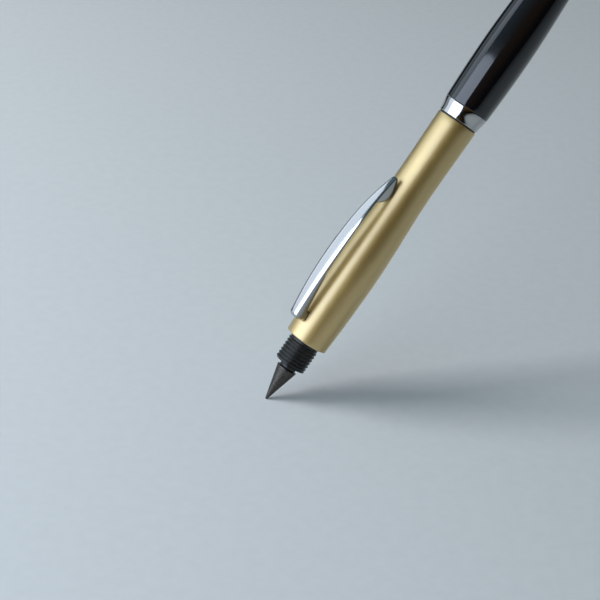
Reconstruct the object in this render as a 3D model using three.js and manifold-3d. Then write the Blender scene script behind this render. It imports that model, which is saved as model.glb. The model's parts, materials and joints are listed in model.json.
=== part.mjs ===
// Two-ended multifunction pen, in millimetres, axis along +Z.
// The pencil point touches the origin, and the ballpoint end is up.
// The clip lies on the -Y side. The two refills lie on the +X and -X sides.
import * as THREE from 'three';
import { mergeVertices } from 'three/addons/utils/BufferGeometryUtils.js';
import Module from 'manifold-3d';

const wasm = await Module();
wasm.setup();

// Pencil point and its bushing
const pointLength = 9.2;
const pointBaseRadius = 2.6;
const pointEndRadius = 0.3;
const pointRimLength = 0.5;
const pointRimStep = 0.04;
const pointBluntLength = 0.25;
const studRadius = 1.1;
const studLength = 5.5;
const neckRadius = 2.15;
const neckLength = 1.2;
const neckGroove = 0.25;
const bushingStemRadius = 1.9;
const bushingStemLength = 7;

// Threaded collar
const collarLength = 7.05;
const collarRadius = 4.05;
const threadPitch = 0.9;
const threadDepth = 0.27;
const threadCrestShare = 0.25;
const threadFootShare = 0.62;
const collarChamfer = 0.2;
const shankLength = 2.9;

// Refills, springs and the gaps between them
const refillRadius = 1.175;
const refillBore = 0.9;
const refillLength = 67;
const refillTipLength = 6.5;
const refillConeLength = 3.6;
const refillNibRadius = 0.45;
const refillNibLength = 1;
const refillNibStep = 0.1;
const refillBallRadius = 0.25;
const refillStemLength = 3;
const springClearance = 0.125;
const springWire = 0.3;
const springSideGap = 1;
const springCurls = 8;
const springStepsPerCurl = 8;
const wireSides = 5;
const tipSideGap = 0.15;

// Heart cam and carriers
const camTravel = 12;
const camBore = 1.2;
const camDetent = 0.9;
const camFlangeLength = 2.7;
const camSkirtLength = 5;
const camTailRadius = 2.5;
const camTailLength = 6;
const footGap = 0.25;
const footHalfAngle = THREE.MathUtils.degToRad(14);
const footSteepness = 1.8;
const stemMargin = 0.4;
const carrierBodyLength = 8.85;
const carrierSplitGap = 0.3;
const keyWidth = 1.2;
const keyLength = 6;
const keyDepth = 1;
const plugRadius = 0.65;
const plugLength = 4;

// Guide tube and front joint
const guideClearance = 0.05;
const guideWall = 0.45;
const guideLipWidth = 0.28;
const guideLipLength = 0.6;
const slotSideGap = 0.2;
const ringHeight = 0.5;
const ringDepth = 0.25;
const ringFromGuideEnd = 1;
const ringGapAngle = THREE.MathUtils.degToRad(50);
const stopThickness = 1.8;
const stopHoleGap = 0.35;
const stopHoleShift = 0.1;
const springLength = 17.8;
const washerThickness = 0.3;
const centerRingLength = 3.55;
const centerRingFlare = 0.47;
const centerRingStep = 0.03;
const centerRingEdge = 0.12;
const sleeveWall = 0.65;
const sleeveLength = 8.6;

// Rear barrel
const rearBarrelLength = 63.6;
const seatFromMouth = 5;
const turnGap = 0.15;
const waistWall = 0.66;
const mouthSwell = 0.14;
const bellySwell = 0.93;
const collarEndWall = 1.12;
const bellyFromCollar = 19.8;
const waistFromMouth = 16;
const barrelEdgeRadius = 0.3;
const barrelEdgeShare = 0.3;
const bushingLength = 6;

// Front barrel and nose
const tipRecess = 3.2;
const frontStep = 0.1;
const frontEdge = 0.15;
const frontSwell = 0.3;
const frontSwellFromRing = 15;
const frontWall = 0.5;
const noseLength = 13;
const noseHoleRadius = 1.35;
const noseHoleLength = 1;
const noseRim = 0.5;
const noseBulge = 0.25;
const noseShankLength = 5;
const noseShankWall = 0.45;
const barrelNoseStep = 0.1;

// Clip
const clipLength = 40.9;
const clipFromCollar = 3.95;
const clipCrestFromRoot = 15.8;
const clipCrestGap = 3.78;
const clipThickness = 0.8;
const clipRootThickness = 2.6;
const clipRootTaper = 1.7;
const clipArcRadius = 92;
const clipWidestFromRoot = 19.6;
const clipMaxWidth = 3.85;
const clipRootWidth = 2.2;
const clipRootFlare = 2;
const clipTipWidth = 1.2;
const clipTipFlare = 1.45;
const clipBevel = 0.28;
const clipCrown = 0.07;
const clipRootRound = 1;
const clipTipRound = 0.7;
const clipEndWidthShare = 0.5;
const clipLegStart = 0.6;
const clipLegDepth = 2.1;
const clipLegWidth = 2;
const clipPadFromTip = 7;
const clipPadLength = 5.7;
const clipPadRise = 0.8;
const clipPadRunOut = 1.9;
const clipPadGap = 0.25;
const clipFillet = 1.1;
const retainerWall = 0.6;
const retainerLength = 7;

// Fits: parts that are pressed together, parts that slide, and faces in a tilted group
const pressGap = 0.05;
const slideGap = 0.15;
const clipSideGap = 0.25;
const seatGap = 0.3;
const tubeEndGap = 0.1;

// How far cutters and joined bodies reach past each other
const cutMargin = 1;
const joinOverlap = 0.5;


const fineSides = 40;
const coarseSides = 28;
const roundSides = 24;
const smallSides = 16;

// Heights along the pen, each worked out from its neighbour below
const neckTop = pointLength + neckLength;
const collarTop = neckTop + collarLength;
const mouthHeight = collarTop + rearBarrelLength;
const washerTop = mouthHeight + pressGap + washerThickness;
const ringTop = washerTop + centerRingLength;
const bellyHeight = collarTop + bellyFromCollar;
const waistHeight = mouthHeight - waistFromMouth;

// Heights in the mechanism, counted down from the mouth of the rear barrel
const refillSeat = mouthHeight - seatFromMouth;
const carrierTop = refillSeat - seatGap;
const carrierBottom = carrierTop - carrierBodyLength;
const footTip = carrierBottom - camTravel / 2 - stemMargin;
const camValley = footTip - footGap - camTravel / 2;
const camSkirtBottom = camValley - camSkirtLength;
const camFlangeBottom = camSkirtBottom - camFlangeLength;
const camTailBottom = camFlangeBottom - camTailLength;
const guideBottom = camSkirtBottom + slideGap;
const retainingHeight = guideBottom + ringFromGuideEnd;
const stopBottom = refillSeat + springLength;
const stopTop = stopBottom + stopThickness;
const guideTop = stopTop + guideLipLength;
const ballHeight = refillSeat + refillLength;
const noseTop = ballHeight + tipRecess;
const noseBottom = noseTop - noseLength;

// Radii, each worked out from what it goes round
const springInner = refillRadius + springClearance;
const springOuter = springInner + springWire;
const springMean = (springInner + springOuter) / 2;
const refillOffset = springOuter + springSideGap / 2;
const guideInner = refillOffset + springOuter + guideClearance;
const guideOuter = guideInner + guideWall;
const camOuter = guideInner - slideGap;
const barrelBore = guideOuter + turnGap;
const waistRadius = barrelBore + waistWall;
const mouthRadius = waistRadius + mouthSwell;
const bellyRadius = waistRadius + bellySwell;
const collarEndRadius = barrelBore + collarEndWall;
const ringStartRadius = mouthRadius + centerRingStep;
const ringEndRadius = ringStartRadius + centerRingFlare;
const sleeveInner = guideOuter + pressGap;
const sleeveOuter = sleeveInner + sleeveWall;
const frontBore = guideOuter + turnGap;
const frontStartRadius = ringEndRadius + frontStep;
const frontPeakRadius = frontStartRadius + frontSwell;
const noseBaseRadius = frontBore + frontWall;
const shankRadius = barrelBore - pressGap;

// The clip's root, tip and crest
const clipRoot = collarTop + clipFromCollar;
const clipTip = clipRoot + clipLength;
const clipCrest = clipRoot + clipCrestFromRoot;
const clipCrestRadius = bellyRadius + clipCrestGap + clipThickness;

// Tilt of a refill at rest, so that the two points lie side by side in the nose
const tipShoulder = refillLength - refillConeLength;
const tipOffset = refillRadius + tipSideGap / 2;
const refillTilt = Math.atan((refillOffset - tipOffset) / tipShoulder);

const gold = { color: 0xc9bc8f, roughness: 0.34, metalness: 1 };
const chrome = { color: 0xd8dadd, roughness: 0.08, metalness: 1 };
const blackLacquer = { color: 0x0c0c0f, roughness: 0.12, metalness: 0 };
const blackMetal = { color: 0x1e1e23, roughness: 0.35, metalness: 0.6 };
const pointAlloy = { color: 0x5a5252, roughness: 0.42, metalness: 1 };
const brass = { color: 0xb5975a, roughness: 0.35, metalness: 1 };
const steel = { color: 0xb9bcc0, roughness: 0.28, metalness: 1 };
const paleAcetal = { color: 0xe6e4dc, roughness: 0.5, metalness: 0 };
const darkAcetal = { color: 0x2a2a2c, roughness: 0.55, metalness: 0 };
const blackTube = { color: 0x17181c, roughness: 0.4, metalness: 0 };
const redTube = { color: 0xa5161c, roughness: 0.4, metalness: 0 };

function solidOf(geometry) {
  const bare = geometry.clone();
  bare.deleteAttribute('normal');
  bare.deleteAttribute('uv');
  const merged = mergeVertices(bare, 1e-5);
  const vertProperties = new Float32Array(merged.attributes.position.array);
  const triVerts = new Uint32Array(merged.index.array);
  return new wasm.Manifold(new wasm.Mesh({ numProp: 3, vertProperties, triVerts }));
}

function geometryOf(solid) {
  const mesh = solid.getMesh();
  const geometry = new THREE.BufferGeometry();
  geometry.setAttribute('position', new THREE.BufferAttribute(mesh.vertProperties, 3));
  geometry.setIndex(new THREE.BufferAttribute(mesh.triVerts, 1));
  return geometry;
}

function joined(first, ...others) {
  return geometryOf(others.reduce((sum, other) => sum.add(solidOf(other)), solidOf(first)));
}

function cutBy(first, ...others) {
  return geometryOf(others.reduce((sum, other) => sum.subtract(solidOf(other)), solidOf(first)));
}

function part(name, geometry, finish) {
  geometry.computeVertexNormals();
  const mesh = new THREE.Mesh(geometry, new THREE.MeshStandardMaterial(finish));
  mesh.name = name;
  return mesh;
}

// A profile of [radius, height] corners, turned about the pen's axis
function turned(profile, sides) {
  const points = profile.map(([radius, height]) => new THREE.Vector2(radius, height));
  return new THREE.LatheGeometry(points, sides).rotateX(Math.PI / 2);
}

function ring(inner, outer, bottom, top, sides) {
  const profile = [[inner, bottom], [outer, bottom], [outer, top], [inner, top], [inner, bottom]];
  return turned(profile, sides);
}

function rod(radius, bottom, top, sides) {
  return turned([[0, bottom], [radius, bottom], [radius, top], [0, top]], sides);
}

// A box centred on x and y, from one height to another
function block(width, depth, bottom, top, x = 0, y = 0) {
  return new THREE.BoxGeometry(width, depth, top - bottom).translate(x, y, (bottom + top) / 2);
}

// A smooth run of [radius, height] points between two ends, eased at both
function easedRun(fromRadius, fromHeight, toRadius, toHeight, steps) {
  const run = [];
  for (let i = 0; i <= steps; i += 1) {
    const share = i / steps;
    const eased = (1 - Math.cos(Math.PI * share)) / 2;
    run.push([
      THREE.MathUtils.lerp(fromRadius, toRadius, eased),
      THREE.MathUtils.lerp(fromHeight, toHeight, share),
    ]);
  }
  return run;
}

// A quarter-sine swell, steep at its start and level at its end
function swellingRun(fromRadius, fromHeight, toRadius, toHeight, steps) {
  const run = [];
  for (let i = 0; i <= steps; i += 1) {
    const share = i / steps;
    const eased = Math.sin((Math.PI / 2) * share);
    run.push([
      THREE.MathUtils.lerp(fromRadius, toRadius, eased),
      THREE.MathUtils.lerp(fromHeight, toHeight, share),
    ]);
  }
  return run;
}

// A wall between two radii whose lower and upper edges follow functions of the angle
function shapedWall(inner, outer, startAngle, endAngle, steps, lowAt, highAt) {
  const closed = Math.abs(endAngle - startAngle - Math.PI * 2) < 1e-9;
  const columns = closed ? steps : steps + 1;
  const positions = [];
  for (let i = 0; i < columns; i += 1) {
    const angle = THREE.MathUtils.lerp(startAngle, endAngle, i / steps);
    const x = Math.cos(angle);
    const y = Math.sin(angle);
    const low = lowAt(angle);
    const high = highAt(angle);
    positions.push(inner * x, inner * y, low, outer * x, outer * y, low);
    positions.push(outer * x, outer * y, high, inner * x, inner * y, high);
  }
  const index = [];
  for (let i = 0; i < steps; i += 1) {
    const here = i * 4;
    const next = ((i + 1) % columns) * 4;
    for (let edge = 0; edge < 4; edge += 1) {
      const turn = (edge + 1) % 4;
      index.push(here + edge, next + turn, here + turn);
      index.push(here + edge, next + edge, next + turn);
    }
  }
  if (!closed) {
    const last = (columns - 1) * 4;
    index.push(0, 1, 2, 0, 2, 3);
    index.push(last, last + 2, last + 1, last, last + 3, last + 2);
  }
  const geometry = new THREE.BufferGeometry();
  geometry.setAttribute('position', new THREE.Float32BufferAttribute(positions, 3));
  geometry.setIndex(index);
  return geometry;
}

// Sections of equal point counts, joined one to the next and closed at both ends
function lofted(sections) {
  const count = sections[0].length;
  const positions = sections.flatMap((section) => section.flatMap((point) => point.toArray()));
  const index = [];
  for (let row = 0; row + 1 < sections.length; row += 1) {
    for (let i = 0; i < count; i += 1) {
      const here = row * count + i;
      const beside = row * count + ((i + 1) % count);
      index.push(here, beside, beside + count);
      index.push(here, beside + count, here + count);
    }
  }
  const last = (sections.length - 1) * count;
  for (let i = 1; i + 1 < count; i += 1) {
    index.push(0, i + 1, i);
    index.push(last, last + i, last + i + 1);
  }
  const geometry = new THREE.BufferGeometry();
  geometry.setAttribute('position', new THREE.Float32BufferAttribute(positions, 3));
  geometry.setIndex(index);
  return geometry;
}

function pencilPoint() {
  const rimBottom = pointLength - pointRimLength;
  return part('pencil_point', turned([
    [0, 0],
    [pointEndRadius, pointBluntLength],
    [pointBaseRadius - pointRimStep, rimBottom],
    [pointBaseRadius, rimBottom + pointRimLength / 2],
    [pointBaseRadius, pointLength],
    [studRadius, pointLength],
    [studRadius, pointLength + studLength],
    [0, pointLength + studLength],
  ], coarseSides), pointAlloy);
}

// The neck starts with a groove, which parts it from the cone's base by a dark line
function pointBushing() {
  const grooveRadius = neckRadius - neckGroove;
  const grooveTop = pointLength + neckGroove;
  const bore = studRadius + pressGap;
  const boreTop = pointLength + studLength + seatGap;
  const stemTop = neckTop + bushingStemLength;
  return part('point_bushing', turned([
    [bore, pointLength],
    [grooveRadius, pointLength],
    [grooveRadius, grooveTop],
    [neckRadius, grooveTop],
    [neckRadius, neckTop],
    [bushingStemRadius, neckTop],
    [bushingStemRadius, stemTop],
    [0, stemTop],
    [0, boreTop],
    [bore, boreTop],
    [bore, pointLength],
  ], coarseSides), blackMetal);
}

function threadedCollar() {
  const bore = bushingStemRadius + pressGap;
  const rootRadius = collarRadius - threadDepth;
  const firstRidge = neckTop + collarChamfer;
  const ridges = Math.floor((collarTop - firstRidge) / threadPitch);
  const profile = [[bore, neckTop], [collarRadius - collarChamfer, neckTop]];
  for (let i = 0; i < ridges; i += 1) {
    const start = firstRidge + i * threadPitch;
    profile.push([collarRadius, start]);
    profile.push([collarRadius, start + threadPitch * threadCrestShare]);
    profile.push([rootRadius, start + threadPitch * threadFootShare]);
  }
  profile.push([rootRadius, collarTop]);
  profile.push([shankRadius, collarTop]);
  profile.push([shankRadius, collarTop + shankLength]);
  profile.push([bore, collarTop + shankLength]);
  profile.push([bore, neckTop]);
  return part('threaded_collar', turned(profile, coarseSides), blackMetal);
}

// The opening for the clip's leg, cut through a wall whose middle is at the given radius
function clipWindow(radialDepth, radius) {
  const width = clipLegWidth + 2 * clipSideGap;
  const bottom = clipRoot + clipLegStart - clipSideGap;
  const top = bottom + clipLegDepth + 2 * clipSideGap;
  return block(width, radialDepth, bottom, top, 0, -radius);
}

function rearBarrel() {
  const edge = barrelEdgeRadius;
  const cut = edge * barrelEdgeShare;
  const profile = [
    [barrelBore, collarTop],
    [collarEndRadius - edge, collarTop],
    [collarEndRadius - cut, collarTop + cut],
    ...swellingRun(collarEndRadius, collarTop + edge, bellyRadius, bellyHeight, 6),
    ...easedRun(bellyRadius, bellyHeight, waistRadius, waistHeight, 8).slice(1),
    ...easedRun(waistRadius, waistHeight, mouthRadius, mouthHeight - edge, 3).slice(1),
    [mouthRadius - cut, mouthHeight - cut],
    [mouthRadius - edge, mouthHeight],
    [barrelBore, mouthHeight],
    [barrelBore, collarTop],
  ];
  const middle = (barrelBore + bellyRadius) / 2;
  const shell = turned(profile, fineSides);
  return part('rear_barrel', cutBy(shell, clipWindow(bellyRadius, middle)), gold);
}

function clipRetainer() {
  const outer = barrelBore - pressGap;
  const bottom = collarTop + shankLength;
  const sleeve = ring(outer - retainerWall, outer, bottom, bottom + retainerLength, coarseSides);
  return part('clip_retainer', cutBy(sleeve, clipWindow(outer, outer)), steel);
}

function barrelRadiusAt(z) {
  const share = (z - bellyHeight) / (waistHeight - bellyHeight);
  const eased = (1 - Math.cos(Math.PI * share)) / 2;
  return THREE.MathUtils.lerp(bellyRadius, waistRadius, eased);
}

// How far a rounded end has opened out: 0 at the very end and 1 where the rounding stops
function endRounding(z) {
  const fromRoot = (z - clipRoot) / clipRootRound;
  const fromTip = (clipTip - z) / clipTipRound;
  const share = THREE.MathUtils.clamp(Math.min(fromRoot, fromTip), 0, 1);
  return Math.sqrt(1 - (1 - share) ** 2);
}

function clipArcAt(z) {
  return clipCrestRadius - (z - clipCrest) ** 2 / (2 * clipArcRadius);
}

function clipWidthAt(z) {
  const fromWidest = z - clipRoot - clipWidestFromRoot;
  const onRootSide = fromWidest < 0;
  const reach = onRootSide ? -clipWidestFromRoot : clipLength - clipWidestFromRoot;
  const drop = clipMaxWidth - (onRootSide ? clipRootWidth : clipTipWidth);
  const flare = onRootSide ? clipRootFlare : clipTipFlare;
  const leaf = clipMaxWidth - drop * (fromWidest / reach) ** flare;
  return leaf * THREE.MathUtils.lerp(clipEndWidthShare, 1, endRounding(z));
}

// The underside: thick at the root, thin along the arch, and down to the barrel at the pad
function clipInnerAt(z) {
  const rootShare = Math.max(0, (clipCrest - z) / clipCrestFromRoot);
  const extra = (clipRootThickness - clipThickness) * rootShare ** clipRootTaper;
  const plain = clipArcAt(z) - clipThickness - extra;
  const padStart = clipTip - clipPadFromTip;
  const rise = THREE.MathUtils.smoothstep(z, padStart, padStart + clipPadRise);
  const padEnd = padStart + clipPadLength;
  const runOut = 1 - THREE.MathUtils.smoothstep(z, padEnd - clipPadRunOut, padEnd);
  return THREE.MathUtils.lerp(plain, barrelRadiusAt(z) + clipPadGap, rise * runOut);
}

function clipSectionAt(z) {
  const half = clipWidthAt(z) / 2;
  const inner = clipInnerAt(z);
  const full = clipArcAt(z);
  const outer = full - (full - inner) * (1 - endRounding(z)) / 2;
  const bevel = Math.min(clipBevel, half / 2, (outer - inner) / 3);
  const corners = [
    [-half + bevel, inner], [-half, inner + bevel], [-half, outer - bevel],
    [-half + bevel, outer - clipCrown], [0, outer], [half - bevel, outer - clipCrown],
    [half, outer - bevel], [half, inner + bevel], [half - bevel, inner],
  ];
  return corners.map(([x, radius]) => new THREE.Vector3(x, -radius, z));
}

// Stations along the clip, closer together at the rounded ends and over the pad
function clipStations() {
  const rootEnd = clipRoot + clipRootRound;
  const padStart = clipTip - clipPadFromTip;
  const padEnd = padStart + clipPadLength;
  const tipStart = clipTip - clipTipRound;
  const runs = [
    [clipRoot, rootEnd, 4], [rootEnd, padStart, 13], [padStart, padStart + clipPadRise, 3],
    [padStart + clipPadRise, padEnd - clipPadRunOut, 3], [padEnd - clipPadRunOut, tipStart, 4],
    [tipStart, clipTip, 3],
  ];
  const stations = runs.flatMap(([from, to, steps]) => (
    Array.from({ length: steps }, (_, i) => THREE.MathUtils.lerp(from, to, i / steps))
  ));
  return [...stations, clipTip];
}

// The clip is a willow leaf bent to an arc, with a leg at its root and a pad near its tip
function clip() {
  const leaf = lofted(clipStations().map(clipSectionAt));
  return part('clip', joined(leaf, clipLeg()), chrome);
}

// The leg's side outline in (height, radius), with a fillet under the leaf
function clipLeg() {
  const legBottom = clipRoot + clipLegStart;
  const legTop = legBottom + clipLegDepth;
  const underside = clipInnerAt(legTop);
  const leafSide = underside + clipThickness;
  const foot = barrelBore - pressGap - retainerWall;
  const outline = new THREE.Shape();
  outline.moveTo(legBottom, foot);
  outline.lineTo(legTop, foot);
  outline.lineTo(legTop, underside - clipFillet);
  outline.quadraticCurveTo(legTop, underside, legTop + clipFillet, leafSide);
  outline.lineTo(legBottom, leafSide);
  const leg = new THREE.ExtrudeGeometry(outline, {
    depth: clipLegWidth, bevelEnabled: false, curveSegments: 4,
  });
  // Height runs along +Z and radius along -Y after the turn
  const place = new THREE.Matrix4().makeBasis(
    new THREE.Vector3(0, 0, 1), new THREE.Vector3(0, -1, 0), new THREE.Vector3(1, 0, 0),
  );
  return leg.applyMatrix4(place).translate(-clipLegWidth / 2, 0, 0);
}

function mechanismBushing() {
  const outer = barrelBore - pressGap;
  const top = camFlangeBottom;
  const bottom = top - bushingLength;
  return part('mechanism_bushing', ring(camTailRadius + pressGap, outer, bottom, top, coarseSides), brass);
}

// Ramp height above the valley: an even climb to the peak at +Y, with the detent notch in it
function rampAt(angle) {
  const peakAngle = Math.PI / 2;
  const turn = THREE.MathUtils.euclideanModulo(angle - peakAngle + Math.PI, 2 * Math.PI);
  const away = Math.abs(turn - Math.PI);
  const climb = camTravel * (1 - away / Math.PI);
  return away < 1e-6 ? climb - camDetent : climb;
}

function heartCam() {
  const flangeRadius = guideOuter;
  const grooveRadius = camOuter - ringDepth;
  const grooveTop = retainingHeight + ringHeight + pressGap;
  const body = turned([
    [camBore, camTailBottom],
    [camTailRadius, camTailBottom],
    [camTailRadius, camFlangeBottom],
    [flangeRadius, camFlangeBottom],
    [flangeRadius, camSkirtBottom],
    [camOuter, camSkirtBottom],
    [camOuter, retainingHeight - pressGap],
    [grooveRadius, retainingHeight - pressGap],
    [grooveRadius, grooveTop],
    [camOuter, grooveTop],
    [camOuter, camValley],
    [camBore, camValley],
    [camBore, camTailBottom],
  ], fineSides);
  const ramp = shapedWall(camBore, camOuter, 0, Math.PI * 2, fineSides,
    () => camValley - joinOverlap, (angle) => camValley + rampAt(angle));
  return part('heart_cam', joined(body, ramp), darkAcetal);
}

function retainingRing() {
  const inner = camOuter - ringDepth + pressGap;
  const outer = camOuter + ringDepth;
  const split = shapedWall(inner, outer, ringGapAngle / 2, Math.PI * 2 - ringGapAngle / 2, coarseSides,
    () => retainingHeight, () => retainingHeight + ringHeight);
  return part('retaining_ring', split, steel);
}

function guideTube() {
  const grooveRadius = camOuter + ringDepth + slideGap / 2;
  const grooveBottom = retainingHeight - pressGap;
  const grooveTop = retainingHeight + ringHeight + pressGap;
  const lipInner = guideInner - guideLipWidth;
  const tube = turned([
    [guideInner, guideBottom],
    [guideOuter, guideBottom],
    [guideOuter, guideTop],
    [lipInner, guideTop],
    [lipInner, stopTop],
    [guideInner, stopTop],
    [guideInner, grooveTop],
    [grooveRadius, grooveTop],
    [grooveRadius, grooveBottom],
    [guideInner, grooveBottom],
    [guideInner, guideBottom],
  ], fineSides);
  const slotTop = carrierBottom + keyLength + camTravel / 2 + cutMargin;
  const slotWidth = keyWidth + 2 * slotSideGap;
  const slot = block(2 * (guideOuter + cutMargin), slotWidth, guideBottom - cutMargin, slotTop);
  return part('guide_tube', cutBy(tube, slot), paleAcetal);
}

function slipWasher() {
  const outer = mouthRadius - barrelEdgeRadius + pressGap;
  const bottom = mouthHeight + pressGap;
  return part('slip_washer', ring(guideOuter + pressGap, outer, bottom, washerTop, fineSides), darkAcetal);
}

function centerRing() {
  const edge = centerRingEdge;
  return part('center_ring', turned([
    [guideOuter + pressGap, washerTop],
    [ringStartRadius - edge, washerTop],
    [ringStartRadius, washerTop + edge],
    ...easedRun(ringStartRadius, washerTop + edge * 2, ringEndRadius, ringTop - edge, 5),
    [ringEndRadius - edge, ringTop],
    [guideOuter + pressGap, ringTop],
    [guideOuter + pressGap, washerTop],
  ], fineSides), chrome);
}

function jointSleeve() {
  return part('joint_sleeve',
    ring(sleeveInner, sleeveOuter, ringTop, ringTop + sleeveLength, coarseSides), brass);
}

function springStop() {
  const disc = rod(guideInner - pressGap, stopBottom, stopTop, coarseSides);
  const reach = (stopBottom + stopTop) / 2 - refillSeat;
  const centre = refillOffset - reach * Math.tan(refillTilt);
  const holeRadius = refillRadius + stopHoleGap;
  const bottom = stopBottom - cutMargin;
  const top = stopTop + cutMargin;
  const holes = [1, -1].map((side) => (
    rod(holeRadius, bottom, top, roundSides).translate(side * (centre + stopHoleShift), 0, 0)
  ));
  return part('spring_stop', cutBy(disc, ...holes), darkAcetal);
}

function frontBarrel() {
  const sleeveBore = sleeveOuter + pressGap;
  const sleeveEnd = ringTop + sleeveLength + seatGap;
  const peakHeight = ringTop + frontSwellFromRing;
  const edge = frontEdge;
  const endRadius = noseBaseRadius + barrelNoseStep;
  return part('front_barrel', turned([
    [sleeveBore, ringTop],
    [frontStartRadius - edge, ringTop],
    ...swellingRun(frontStartRadius, ringTop + edge, frontPeakRadius, peakHeight, 5),
    ...easedRun(frontPeakRadius, peakHeight, endRadius, noseBottom - edge, 7).slice(1),
    [endRadius - edge, noseBottom],
    [frontBore, noseBottom],
    [frontBore, sleeveEnd],
    [sleeveBore, sleeveEnd],
    [sleeveBore, ringTop],
  ], fineSides), blackLacquer);
}

function noseCone() {
  const shankOuter = frontBore - pressGap;
  const shankInner = shankOuter - noseShankWall;
  const shankBottom = noseBottom - noseShankLength;
  const funnelTop = noseTop - noseHoleLength;
  const endRadius = noseHoleRadius + noseRim;
  const outside = [];
  const steps = 6;
  for (let i = 0; i <= steps; i += 1) {
    const share = i / steps;
    const straight = THREE.MathUtils.lerp(noseBaseRadius, endRadius, share);
    outside.push([straight + noseBulge * Math.sin(Math.PI * share), noseBottom + noseLength * share]);
  }
  return part('nose_cone', turned([
    [shankInner, shankBottom],
    [shankOuter, shankBottom],
    [shankOuter, noseBottom],
    ...outside,
    [noseHoleRadius, noseTop],
    [noseHoleRadius, funnelTop],
    [shankInner, noseBottom],
    [shankInner, shankBottom],
  ], fineSides), chrome);
}

// A carrier: half-round body, narrow stem with a pointed foot, side key and refill plug.
// It is made on the +X side.
function carrierGeometry() {
  const bodyRadius = guideInner - slideGap;
  const arc = Math.acos(carrierSplitGap / 2 / bodyRadius);
  const half = new THREE.Shape();
  half.absarc(0, 0, bodyRadius, -arc, arc, false);
  half.closePath();
  const body = new THREE.ExtrudeGeometry(half, {
    depth: carrierBodyLength, bevelEnabled: false, curveSegments: 20,
  }).translate(0, 0, carrierBottom);
  const slope = (camTravel / Math.PI) * footSteepness;
  const stemInner = camBore + slideGap;
  const foot = shapedWall(stemInner, bodyRadius, -footHalfAngle, footHalfAngle, 4,
    (angle) => footTip + Math.abs(angle) * slope, () => carrierBottom + joinOverlap);
  const keyInner = bodyRadius - keyDepth;
  const keyOuter = guideOuter - slideGap / 2;
  const key = block(keyOuter - keyInner, keyWidth, carrierBottom, carrierBottom + keyLength,
    (keyInner + keyOuter) / 2, 0);
  const plug = rod(plugRadius, carrierTop - joinOverlap, carrierTop + plugLength, smallSides)
    .translate(refillOffset, 0, 0);
  return joined(body, foot, key, plug);
}

function carrier(name, side) {
  const mesh = part(name, carrierGeometry(), paleAcetal);
  mesh.rotation.z = side > 0 ? 0 : Math.PI;
  return mesh;
}

function refillTube(name, finish) {
  return part(name, ring(refillBore, refillRadius, 0, refillLength - refillTipLength, roundSides), finish);
}

function refillPoint(name) {
  const shoulder = refillLength - refillTipLength + tubeEndGap;
  const stemRadius = refillBore - pressGap;
  const nibStart = refillLength - refillNibLength;
  return part(name, turned([
    [0, shoulder - refillStemLength],
    [stemRadius, shoulder - refillStemLength],
    [stemRadius, shoulder],
    [refillRadius, shoulder],
    [refillRadius, refillLength - refillConeLength],
    [refillNibRadius + refillNibStep, nibStart],
    [refillNibRadius, nibStart + refillNibStep],
    [refillNibRadius, refillLength - refillBallRadius],
    [refillBallRadius, refillLength],
    [0, refillLength],
  ], roundSides), brass);
}

// A return spring, wound from round wire
function returnSpring(name) {
  const wireRadius = springWire / 2;
  const rise = springLength - springWire - 2 * seatGap;
  const steps = springCurls * springStepsPerCurl;
  const sections = [];
  for (let i = 0; i <= steps; i += 1) {
    const angle = (i / springStepsPerCurl) * Math.PI * 2;
    const outward = new THREE.Vector3(Math.cos(angle), Math.sin(angle), 0);
    const centre = outward.clone().multiplyScalar(springMean);
    centre.z = seatGap + wireRadius + rise * (i / steps);
    const section = [];
    for (let k = 0; k < wireSides; k += 1) {
      const around = (k / wireSides) * Math.PI * 2;
      const point = centre.clone().addScaledVector(outward, wireRadius * Math.cos(around));
      point.z -= wireRadius * Math.sin(around);
      section.push(point);
    }
    sections.push(section);
  }
  const pitch = rise / springCurls;
  console.log(`${name}: least gap between curls ${(pitch - springWire).toFixed(2)} mm`);
  return part(name, lofted(sections), steel);
}

// A refill with its spring, both leaning inwards by the tilt at rest
function refill(colour, side, finish) {
  const group = new THREE.Group();
  group.add(refillTube(`refill_${colour}_tube`, finish));
  group.add(refillPoint(`refill_${colour}_point`));
  group.add(returnSpring(`spring_${colour}`));
  group.position.set(side * refillOffset, 0, refillSeat);
  group.rotation.y = -side * refillTilt;
  return group;
}

const rearHalf = new THREE.Group();
rearHalf.add(pencilPoint(), pointBushing(), threadedCollar(), rearBarrel(), clipRetainer());
rearHalf.add(clip(), mechanismBushing(), heartCam(), retainingRing());

const frontHalf = new THREE.Group();
frontHalf.add(guideTube(), slipWasher(), centerRing(), jointSleeve(), springStop());
frontHalf.add(frontBarrel(), noseCone());
frontHalf.add(carrier('carrier_black', 1), carrier('carrier_red', -1));
frontHalf.add(refill('black', 1, blackTube), refill('red', -1, redTube));

const group = new THREE.Group();
group.add(rearHalf, frontHalf);

export default group;
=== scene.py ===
# %% [markdown]
# A slim pen that stands on its metal pencil point and leans to the right.
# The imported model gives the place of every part. This script gives each part its
# fine shape and finish, and sets the floor, the lamps and the camera of a
# product photograph. Everything is in metres, with the pen along +Z, its
# pencil point at the origin and its clip on the -Y side.

# %% Load the frame
import json
import math
import bpy
from mathutils import Matrix, Vector


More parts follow.
